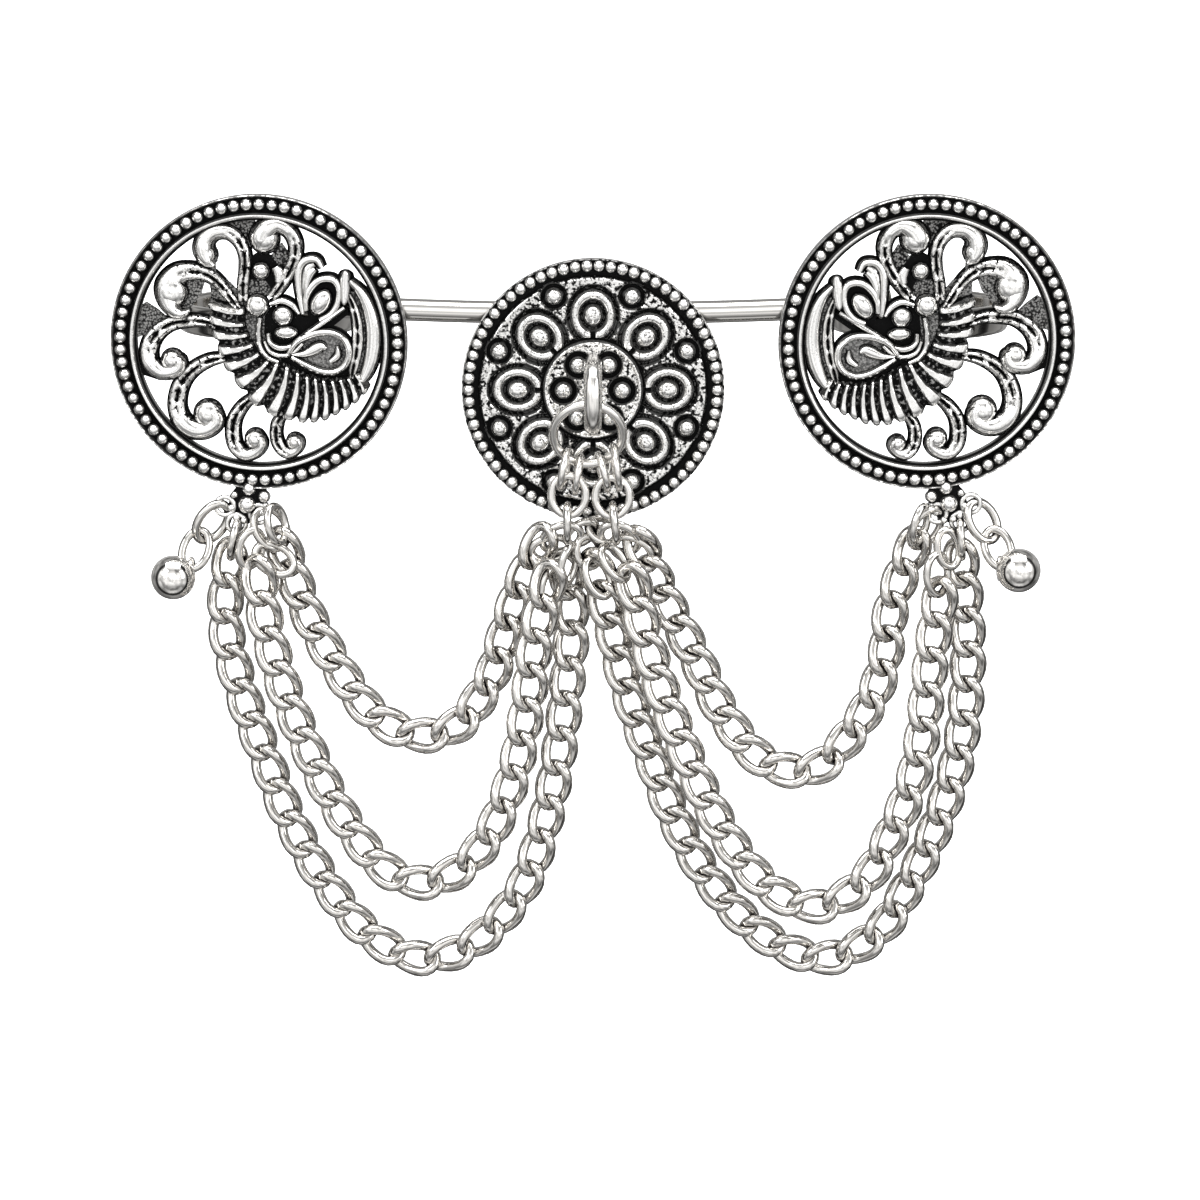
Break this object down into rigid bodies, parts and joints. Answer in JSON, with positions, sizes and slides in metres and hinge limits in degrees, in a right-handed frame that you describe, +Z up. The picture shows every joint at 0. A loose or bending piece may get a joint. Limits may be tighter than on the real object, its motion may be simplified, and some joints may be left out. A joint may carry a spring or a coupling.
{
  "type": "two-finger ring",
  "caption": "Two-finger ring with openwork and domed round medallions on a bar, two open finger bands and swags of curb chain.",
  "frame": {"origin": "the middle of the bar, which the fingers hold up from behind", "axes": "+X along the bar to the viewer's right, +Y from the medallion faces back towards the fingers, +Z up, with the chains hanging down"},
  "size_m": [0.0975, 0.0272, 0.0823],
  "materials": {
    "antique_silver": "cast silver-plated metal with darkened recesses and polished raised parts",
    "bright_silver": "bright silver-plated wire"
  },
  "bodies": {
    "root": {"ring_frame": "antique_silver", "centre_ring": "bright_silver", "small_ring_1": "bright_silver", "small_ring_2": "bright_silver", "small_ring_3": "bright_silver", "small_ring_4": "bright_silver", "left_hanger_link": "bright_silver", "right_hanger_link": "bright_silver", "left_drop_link": "bright_silver", "right_drop_link": "bright_silver", "left_gather_ring": "bright_silver", "right_gather_ring": "bright_silver", "left_lug_ring": "bright_silver", "left_lug_link": "bright_silver", "left_ball_link_1": "bright_silver", "left_ball_link_2": "bright_silver", "right_lug_ring": "bright_silver", "right_lug_link": "bright_silver", "right_ball_link_1": "bright_silver", "right_ball_link_2": "bright_silver", "left_ball": "bright_silver", "right_ball": "bright_silver", "left_chain_outer": "bright_silver", "left_chain_middle": "bright_silver", "left_chain_inner": "bright_silver", "right_chain_outer": "bright_silver", "right_chain_middle": "bright_silver", "right_chain_inner": "bright_silver"}
  },
  "joints": []
}
